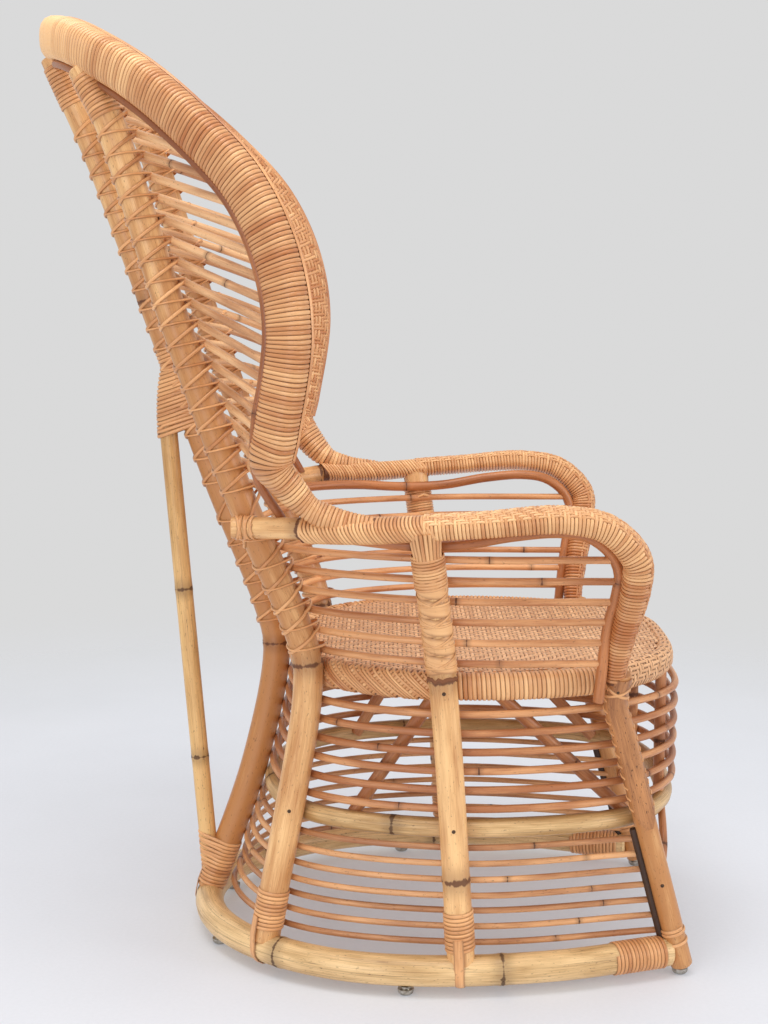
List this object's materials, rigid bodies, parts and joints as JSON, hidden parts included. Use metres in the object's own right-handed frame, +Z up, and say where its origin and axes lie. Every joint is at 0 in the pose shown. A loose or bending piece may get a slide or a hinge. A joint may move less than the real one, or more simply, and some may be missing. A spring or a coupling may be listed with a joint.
{
  "type": "peacock chair",
  "caption": "Free-standing peacock chair of bent rattan, with a tall flared back of ribs inside a wrapped rim, wrapped arms, a woven seat and an open cane skirt on a horseshoe base.",
  "frame": {"origin": "middle of the footprint, on the floor", "axes": "+Z up, -Y the way the sitter faces, -X to the sitter's right"},
  "size_m": [0.7128, 0.9132, 1.32],
  "materials": {
    "pole": "peeled rattan pole, honey coloured, satin varnish",
    "pale_pole": "pale straw rattan pole, satin varnish",
    "cane": "thin rattan cane, reddish brown, satin",
    "wrap": "split cane wound side by side, orange tan, satin",
    "weave": "split cane in twill weave, pinkish tan",
    "nickel": "nickel plated steel"
  },
  "bodies": {
    "root": {"right_front_leg": "pole", "left_front_leg": "pole", "right_side_post": "pole", "left_side_post": "pole", "right_side_stile": "pole", "left_side_stile": "pole", "centre_stile": "pole", "right_front_strut": "pole", "left_front_strut": "pole", "right_rear_strut": "pole", "left_rear_strut": "pole", "right_stanchion": "pole", "left_stanchion": "pole", "base_hoop": "pale_pole", "back_prop": "pale_pole", "mid_hoop": "pale_pole", "upper_skirt_cane_1": "cane", "upper_skirt_cane_2": "cane", "upper_skirt_cane_3": "cane", "upper_skirt_cane_4": "cane", "upper_skirt_cane_5": "cane", "upper_skirt_cane_6": "cane", "lower_skirt_cane_1": "cane", "lower_skirt_cane_2": "cane", "lower_skirt_cane_3": "cane", "lower_skirt_cane_4": "cane", "lower_skirt_cane_5": "cane", "lower_skirt_cane_6": "cane", "lower_skirt_cane_7": "cane", "lower_back_cane_1": "cane", "lower_back_cane_2": "cane", "lower_back_cane_3": "cane", "lower_back_cane_4": "cane", "lower_back_cane_5": "cane", "lower_back_cane_6": "cane", "right_front_brace": "cane", "left_front_brace": "cane", "right_arm_cane": "cane", "left_arm_cane": "cane", "back_lattice": "cane", "seat_hoop": "wrap", "back_rim": "wrap", "right_arm": "wrap", "left_arm": "wrap", "right_side_post_binding": "wrap", "left_side_post_binding": "wrap", "right_side_stile_binding": "wrap", "left_side_stile_binding": "wrap", "prop_foot_binding": "wrap", "prop_top_binding": "wrap", "right_base_hoop_binding": "wrap", "left_base_hoop_binding": "wrap", "seat_panel": "weave", "right_front_glide": "nickel", "left_front_glide": "nickel", "right_side_glide": "nickel", "left_side_glide": "nickel", "right_rear_glide": "nickel", "left_rear_glide": "nickel"}
  },
  "joints": []
}
